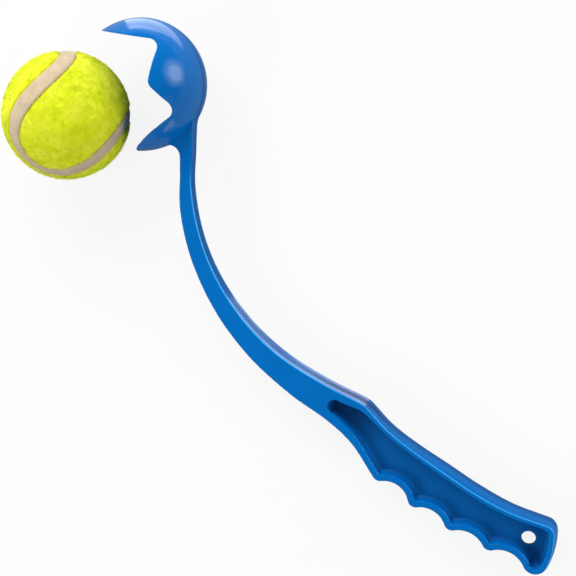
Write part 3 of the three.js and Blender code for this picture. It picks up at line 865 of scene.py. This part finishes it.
def ring_faces(rings, size):
    """Triangles of a skin from one point, through rings of points, to a last point."""
    k = np.arange(size)
    after = (k + 1) % size
    faces = [np.stack([np.zeros(size, int), 1 + k, 1 + after], axis=1)]
    for ring in range(rings - 1):
        a, b = 1 + ring * size, 1 + (ring + 1) * size
        faces.append(np.stack([a + k, b + k, b + after], axis=1))
        faces.append(np.stack([a + k, b + after, a + after], axis=1))
    last = 1 + (rings - 1) * size
    faces.append(np.stack([last + k, np.full(size, 1 + rings * size), last + after], axis=1))
    return np.concatenate(faces)


def nap_roots(chance, half_turn):
    """Where the fibres stand on the panel, and how far each is past the seam's edge."""
    root = unit(chance.normal(size=(int(FIBRES * ROOTS_DRAWN), 3)))
    past = past_seam(root, half_turn)
    on_panel = past > NAP_STARTS
    return root[on_panel][:FIBRES], past[on_panel][:FIBRES]


def nap_lean(chance, root, seed):
    """The way each fibre lies over, along the ball: mostly as its neighbours do."""
    as_others, as_itself = LEAN_SHARES
    others = np.stack([ripples(root, seed + k, LEAN_WAVES) for k in range(3)], axis=1)
    lean = others * as_others + chance.normal(size=root.shape) * as_itself
    return unit(lean - root * (lean * root).sum(-1, keepdims=True))


def fibre_points(root, lean, rise, length, to_tip, wide):
    """Five points on each fibre: two at its foot, two at its bend and one at its tip."""
    up, along = FIBRE_BEND
    foot = root * (FELT_SHELL_RADIUS - FIBRE_ROOT_DEPTH)
    bend = root * (FELT_SHELL_RADIUS + rise * up)[:, None] + lean * (length * along)[:, None]
    tip = root * (FELT_SHELL_RADIUS + rise)[:, None] + to_tip
    at_bend = wide * FIBRE_BEND_WIDTH
    return np.stack([foot - wide, foot + wide, bend + at_bend, bend - at_bend, tip], axis=1)


def felt_nap(seed, half_turn):
    """Short fibres that stand off the panel and lie over in tufts: points, faces, map and tone."""
    chance = np.random.default_rng(seed)
    root, past = nap_roots(chance, half_turn)
    count = len(root)
    loose = chance.random(count) < LOOSE_SHARE
    lean = nap_lean(chance, root, seed + 10)
    length = chance.uniform(*FIBRE_LENGTH, count) * np.where(loose, LOOSE_LONGER, 1)
    tuft = ripples(root, seed + 20, TUFT_WAVES)
    rise = FIBRE_RISE + TUFT_RISE * tuft + chance.normal(size=count) * FIBRE_RISE_SPREAD
    rise = np.where(loose, rise + chance.uniform(*LOOSE_RISE, count), rise)
    curl = unit(np.cross(root, lean)) * (chance.normal(size=(count, 1)) * FIBRE_CURL)
    rise *= smoothstep(past, *FIBRE_SHORT_OVER, RISE_AT_SEAM)
    length *= smoothstep(past, *FIBRE_SHORT_OVER, LENGTH_AT_SEAM)
    to_tip = (lean + curl) * (length * np.where(loose, LOOSE_TIP, FIBRE_TIP))[:, None]
    wide = unit(np.cross(root, lean) + chance.normal(size=(count, 3)) * FIBRE_TWIST)
    wide *= chance.uniform(*FIBRE_WIDTH, (count, 1)) / 2
    points = fibre_points(root, lean, rise, length, to_tip, wide)
    base = 5 * np.arange(count)[:, None]
    faces = np.concatenate([base + [0, 1, 2], base + [0, 2, 3], base + [3, 2, 4]])
    on_map = (MAP_MIDDLE + MAP_REACH * flattened(root))[:, None] + FIBRE_PATCH
    return points.reshape(-1, 3), faces, on_map.reshape(-1, 2), np.repeat(chance.normal(size=count), 5)


def felt_piece(name, node, material, half_turn, seed):
    """One felt cover with its nap, its flat map for baking, and its fibres' tones."""
    shell, shell_faces, shell_map = felt_shell(seed, half_turn)
    nap, nap_faces, nap_map, tone = felt_nap(seed, half_turn)
    points = row_points(np.concatenate([shell, nap]), ball_matrix(half_turn), NAP_OFF_FLOOR)
    faces = np.concatenate([shell_faces, nap_faces + len(shell)])
    obj = new_object(name, points, faces, material)
    on_map = np.concatenate([shell_map, nap_map])
    layer = obj.data.uv_layers.new(name="OFBake")
    layer.data.foreach_set("uv", on_map[faces.ravel()].astype(np.float32).ravel())
    point_attribute(obj, "tone", np.concatenate([np.zeros(len(shell)), tone]))
    stand_for(obj, node, "ball")


def seam_profile():
    """The seam's section, as shares of its half width and radii: a low crown between two rounded
    shoulders, then down to the core."""
    outer = BALL_RADIUS - SEAM_BELOW_FELT + SEAM_GROWTH
    share = np.linspace(-1, 1, SEAM_ACROSS)
    shoulder = SEAM_SHOULDER * abs(share) ** SEAM_SHOULDER_POWER
    crown = zip(share, outer - shoulder + SEAM_CROWN * (1 - share ** 2))
    return [*crown, (1, FELT_INSIDE_RADIUS), (-1, FELT_INSIDE_RADIUS)]


def seam_piece(material):
    """The rubber seam, as a closed loop of sections, with a slightly uneven crown."""
    on, aside, half = seam_frames(SEAM_STEPS)
    profile = seam_profile()
    rings = [beside(on, aside, half * share) * radius for share, radius in profile]
    points = np.stack(rings, axis=1)
    crown = points[:, :SEAM_ACROSS]
    wander = SEAM_ROUGH * ripples(unit(crown), SEAM_SEED, SEAM_ROUGH_WAVES)
    points[:, :SEAM_ACROSS] = crown * (1 + wander / BALL_RADIUS)[..., None]
    here = np.arange(len(on) * len(profile)).reshape(len(on), -1)
    ahead = np.roll(here, -1, axis=0)
    corners = (np.roll(here, -1, axis=1), np.roll(ahead, -1, axis=1), ahead, here)
    quads = np.stack(corners, axis=-1).reshape(-1, 4)
    placed = row_points(points.reshape(-1, 3), ball_matrix(), NAP_OFF_FLOOR)
    obj = new_object("seam_rubber_band", placed, quads, material)
    stand_for(obj, "seam_band", "ball")


# Materials

class NodeTree:
    """Short ways to add nodes to a material or to the world."""

    def __init__(self, tree):
        self.tree = tree
        self.nodes = tree.nodes

    def feed(self, socket, value):
        """Link a socket, or set its own value. A colour has no alpha here."""
        if isinstance(value, bpy.types.NodeSocket):
            self.tree.links.new(value, socket)
        else:
            socket.default_value = (*value, 1) if socket.type == "RGBA" else value

    def put(self, kind, settings=None, **values):
        """A new node, with its inputs fed by name, or by number after an underscore."""
        node = self.nodes.new(kind)
        for key, value in (settings or {}).items():
            setattr(node, key, value)
        for key, value in values.items():
            self.feed(node.inputs[int(key[1:]) if key[0] == "_" else key.replace("_", " ")], value)
        return node

    def attribute(self, name, output="Vector"):
        return self.put("ShaderNodeAttribute", {"attribute_name": name}).outputs[output]

    def axes(self, vector):
        return self.put("ShaderNodeSeparateXYZ", Vector=vector).outputs

    def noise(self, where, size_mm, detail=2.0, rough=0.5):
        """Noise in an even pattern of about size_mm, from places in millimetres."""
        return self.put("ShaderNodeTexNoise", Vector=where, Scale=1 / size_mm, Detail=detail,
                        Roughness=rough).outputs["Fac"]

    def ramp(self, value, *stops):
        """A colour or grey from a value, through (place, colour) stops."""
        node = self.put("ShaderNodeValToRGB", Fac=value)
        band = node.color_ramp
        while len(band.elements) < len(stops):
            band.elements.new(0.5)
        for element, (place, colour) in zip(band.elements, stops):
            element.position = place
            grey = isinstance(colour, (int, float))
            element.color = (colour, colour, colour, 1) if grey else (*colour, 1)
        return node.outputs["Color"]

    def between(self, length, ends, greys=(1, 0), span=1):
        """A grey that changes between two lengths, both of them shorter than the span."""
        share = self.maths("MULTIPLY", length, 1 / span)
        return self.ramp(share, *((end / span, grey) for end, grey in zip(ends, greys)))

    def maths(self, operation, *values):
        inputs = {f"_{k}": value for k, value in enumerate(values)}
        return self.put("ShaderNodeMath", {"operation": operation}, **inputs).outputs["Value"]

    def vectors(self, operation, output, **values):
        return self.put("ShaderNodeVectorMath", {"operation": operation}, **values).outputs[output]

    def mix(self, fac, a, b, blend="MIX"):
        settings = {"data_type": "RGBA", "blend_type": blend}
        return self.put("ShaderNodeMix", settings, _0=fac, _6=a, _7=b).outputs[2]


class Look(NodeTree):
    """A Principled material."""

    def __init__(self, name):
        self.material = bpy.data.materials.new(name)
        self.material.use_nodes = True
        super().__init__(self.material.node_tree)
        self.shader = self.nodes["Principled BSDF"]

    def values(self, **values):
        for key, value in values.items():
            self.feed(self.shader.inputs[key.replace("_", " ")], value)

    def bump(self, height, strength, depth_mm):
        """A bump from a height of 0 to 1 that is depth_mm deep."""
        node = self.put("ShaderNodeBump", Height=height, Strength=strength, Distance=depth_mm * MM)
        self.values(Normal=node.outputs["Normal"])

    def places(self):
        """Places in millimetres in the piece's own frame."""
        spot = self.put("ShaderNodeTexCoord").outputs["Object"]
        return self.vectors("SCALE", "Vector", _0=spot, Scale=1 / MM)


def painted_edge_highlight(look):
    """1 in the painted highlight line along the rear edge, and 0 elsewhere."""
    to_side, to_face, along = look.axes(look.attribute("rear_edge"))
    beside_edge = look.between(look.maths("ABSOLUTE", to_side), LIT_EDGE_BESIDE)
    below_edge = look.between(look.maths("ABSOLUTE", to_face), LIT_EDGE_BELOW)
    return look.maths("MULTIPLY", look.maths("MULTIPLY", beside_edge, below_edge), along)


def plastic_colour(look, flat, across):
    """Blue in soft clouds, with a painted highlight on the rear edge, painted shade in the recess, and darker at
    the gate.
    """
    tone = look.ramp(look.noise(flat, 26, 3), *BLUES)
    # Painted shade: the blue is darker deep in the recess
    shade = look.between(across, PAINTED_RECESS_SHADE_FADES, (PAINTED_RECESS_SHADE, 1), 5)
    colour = look.mix(1.0, tone, shade, "MULTIPLY")
    # Painted highlight along the rear edge
    colour = look.mix(look.maths("MULTIPLY", painted_edge_highlight(look), PAINTED_HIGHLIGHT_SHARE), colour, PAINTED_HIGHLIGHT_COLOUR)
    # Painted shade in the tight ends of the recess, deep down in it
    sunk = look.between(across, CORNER_SHADED, span=5)
    for place, dark, fades in PAINTED_CORNER_SHADE:
        apart = look.vectors("DISTANCE", "Value", _0=flat, _1=place)
        tight = look.between(apart, fades, span=50)
        colour = look.mix(look.maths("MULTIPLY", tight, sunk), colour, dark)
    from_gate = look.vectors("DISTANCE", "Value", _0=flat, _1=GATE_MARK)
    return look.mix(look.between(from_gate, GATE_FADES, span=2), colour, GATE_COLOUR)


def blue_plastic():
    """Glossy on the outside, duller down in the recess, with a faint parting line and gate mark."""
    look = Look("blue_plastic")
    flat = look.attribute("flat")
    along, _, side = look.axes(flat)
    across = look.maths("ABSOLUTE", side)
    haze = look.noise(flat, 7, 4)
    inside = look.between(across, DULL_FADES, span=5)
    dull = look.mix(inside, look.ramp(haze, *GLOSSY_OUTSIDE), look.ramp(haze, *DULL_INSIDE))
    look.values(Base_Color=plastic_colour(look, flat, across), Roughness=dull, IOR=1.49)
    past_cup = look.between(along, PARTING_STARTS, (0, 1), 100)
    line = look.maths("MULTIPLY", look.between(across, PARTING_LINE), past_cup)
    grain = look.noise(flat, 1.6, 2, 0.5)
    look.bump(look.maths("MULTIPLY_ADD", grain, 0.04, look.maths("MULTIPLY", line, 0.85)), 0.3, 0.06)
    return look.material


def felt():
    """Yellow-green wool: soft patches, a fine darker mottle, and fibres that differ a little in tone."""
    look = Look("felt")
    spot = look.places()
    mottle = look.maths("MULTIPLY", look.noise(spot, 0.6, 4, 0.7), 0.6)
    mixed = look.maths("MULTIPLY_ADD", look.noise(spot, 9, 2), 0.4, mottle)
    mixed = look.maths("MULTIPLY_ADD", look.attribute("tone", "Fac"), 0.035, mixed)
    look.values(Base_Color=look.ramp(mixed, *FELT_TONES), Roughness=0.95, Specular_IOR_Level=0.1,
                Sheen_Weight=0.5, Sheen_Roughness=0.45, Sheen_Tint=FELT_SHEEN)
    look.bump(look.noise(spot, 0.5, 2), 0.4, 0.2)
    return look.material


def rubber(name, cloud_size, tones, roughness, shine):
    """Dull rubber in soft clouds of its tones, with the places of its pattern and its colour."""
    look = Look(name)
    spot = look.places()
    tone = look.ramp(look.noise(spot, cloud_size, 3), *tones)
    look.values(Base_Color=tone, Roughness=roughness, Specular_IOR_Level=shine)
    return look, spot, tone


def seam_rubber():
    look, spot, tone = rubber("seam_rubber", 5, SEAM_TONES, 0.78, 0.3)
    specks = look.ramp(look.noise(spot, 0.45, 1), (0.70, 0), (0.74, 1))
    look.values(Base_Color=look.mix(specks, tone, SPECK_COLOUR))
    look.bump(look.noise(spot, 0.35, 3), 0.35, 0.12)
    return look.material


def core_rubber():
    look, spot, _ = rubber("core_rubber", 3, CORE_TONES, 0.7, 0.35)
    look.bump(look.noise(spot, 0.6, 3), 0.4, 0.15)
    return look.material


# Pieces

FLAT_TO_ROW = flat_to_row()


def thrower_piece():
    solid = Moulding()
    low = solid.side.points.min(axis=0)
    high = solid.side.points.max(axis=0)
    lowest = np.array([-CUP_RADIUS, low[1], -CUP_RADIUS]) - MESH_MARGIN
    highest = np.array([high[0] + CROWN_SWELL, CUP_RADIUS, CUP_RADIUS]) + MESH_MARGIN
    points, quads, normals = surface_mesh(solid, lowest, highest, CELL)
    turn = np.array(FLAT_TO_ROW.to_3x3().normalized())
    placed = row_points(points, FLAT_TO_ROW)
    obj = new_object("thrower_moulding", placed, quads, blue_plastic(), normals @ turn.T)
    point_attribute(obj, "flat", points)
    point_attribute(obj, "rear_edge", solid.rear_edge(points))
    stand_for(obj, "thrower_body", "thrower")


def ball_pieces():
    nap = felt()
    felt_piece("felt_cover_a", "felt_panel_a", nap, False, 1)
    felt_piece("felt_cover_b", "felt_panel_b", nap, True, 2)
    seam_piece(seam_rubber())
    black = core_rubber()
    for node in CORE_NODES:
        materials = frame["nodes"][node].data.materials
        materials.clear()
        materials.append(black)


# Studio

def place_camera():
    camera = bpy.data.objects.new("camera", bpy.data.cameras.new("camera"))
    bpy.context.scene.collection.objects.link(camera)
    right, up = Vector(CAMERA_RIGHT).normalized(), Vector(CAMERA_UP).normalized()
    turn = Matrix((right, up, right.cross(up))).transposed()
    row_turn = FLAT_TO_ROW.to_3x3().normalized() @ turn
    camera.matrix_world = Matrix.Translation(FLAT_TO_ROW @ Vector(CAMERA_AT)) @ row_turn.to_4x4()
    camera.data.lens = CAMERA_LENS
    camera.data.shift_x, camera.data.shift_y = CAMERA_SHIFT
    bpy.context.scene.camera = camera


def floor_piece():
    """A floor that is white to the camera, as if mostly lit from behind, so that shadows stay pale.
    To the object it is darker, and white only further off."""
    look = Look("floor")
    glow = look.put("ShaderNodeEmission", Color=(1, 1, 1), Strength=1)
    path = look.put("ShaderNodeLightPath").outputs
    look.values(Base_Color=look.mix(path["Is Camera Ray"], FLOOR_COLOUR, FLOOR_SEEN),
                Roughness=0.9, Specular_IOR_Level=0.1)
    shine = look.maths("MAXIMUM", path["Is Glossy Ray"], path["Is Transmission Ray"])
    away = look.vectors("LENGTH", "Value", _0=look.put("ShaderNodeTexCoord").outputs["Object"])
    near_end, far_end = FLOOR_WHITE_FROM
    far = look.put("ShaderNodeMapRange", Value=away, From_Min=near_end, From_Max=far_end).outputs[0]
    seen = look.maths("MAXIMUM", path["Is Camera Ray"], look.maths("MULTIPLY", shine, far))
    share = look.maths("MULTIPLY", seen, look.maths("MAXIMUM", far, FLOOR_GLOW))
    blend = look.put("ShaderNodeMixShader", Fac=share, _1=look.shader.outputs[0], _2=glow.outputs[0])
    look.feed(look.nodes["Material Output"].inputs["Surface"], blend.outputs[0])
    corners = np.array([(-1, -1, 0), (1, -1, 0), (1, 1, 0), (-1, 1, 0)]) * FLOOR_SIDE / 2
    new_object("floor", corners, [(0, 1, 2, 3)], look.material)


def panel(name, place, faces, size, brightness, shape="RECTANGLE"):
    """A flat light whose own radiance is the brightness."""
    light = bpy.data.lights.new(name, "AREA")
    light.shape = shape
    light.size, light.size_y = size
    fill = math.pi / 4 if shape == "ELLIPSE" else 1
    light.energy = brightness * math.pi * size[0] * size[1] * fill
    obj = bpy.data.objects.new(name, light)
    obj.location = place
    obj.rotation_mode = "QUATERNION"
    obj.rotation_quaternion = faces
    obj.visible_camera = False
    bpy.context.scene.collection.objects.link(obj)
    return obj


def softbox(name, azimuth, elevation, size, brightness, shape="RECTANGLE", nearer=0.0):
    """A light that faces the object from an azimuth, counted from +X towards +Y."""
    a, e = math.radians(azimuth), math.radians(elevation)
    way = Vector((math.cos(e) * math.cos(a), math.cos(e) * math.sin(a), math.sin(e)))
    faces = (-way).to_track_quat("-Z", "Y")
    return panel(name, way * (LIGHT_DISTANCE - nearer), faces, size, brightness, shape)


def sky():
    """A dim world that is white to the camera and through glass."""
    world = bpy.data.worlds.new("studio")
    world.use_nodes = True
    tree = NodeTree(world.node_tree)
    path = tree.put("ShaderNodeLightPath").outputs
    behind = tree.maths("MAXIMUM", path["Is Camera Ray"], path["Is Transmission Ray"])
    strength = tree.put("ShaderNodeMapRange", Value=behind, To_Min=SKY, To_Max=1).outputs[0]
    background = tree.nodes["Background"].inputs
    tree.feed(background["Color"], (1, 1, 1))
    tree.feed(background["Strength"], strength)
    bpy.context.scene.world = world


def lighting():
    for name, box in FILLS.items():
        softbox(name, *box).visible_glossy = False
    for step, (name, box) in enumerate(WINDOWS.items()):
        softbox(name, *box, shape="ELLIPSE", nearer=WINDOW_STEP * step)
    for name, (place, azimuth, size, brightness) in {**LOW_PANELS, **LOW_GLINTS}.items():
        faces_up = Matrix.Rotation(math.radians(azimuth), 3, "Z") @ Matrix.Rotation(math.pi, 3, "X")
        low = panel(name, place, faces_up.to_quaternion(), size, brightness)
        low.visible_diffuse = name in LOW_PANELS


place_camera()
floor_piece()
sky()
lighting()
ball_pieces()
thrower_piece()
bpy.context.scene.view_settings.view_transform = "Standard"
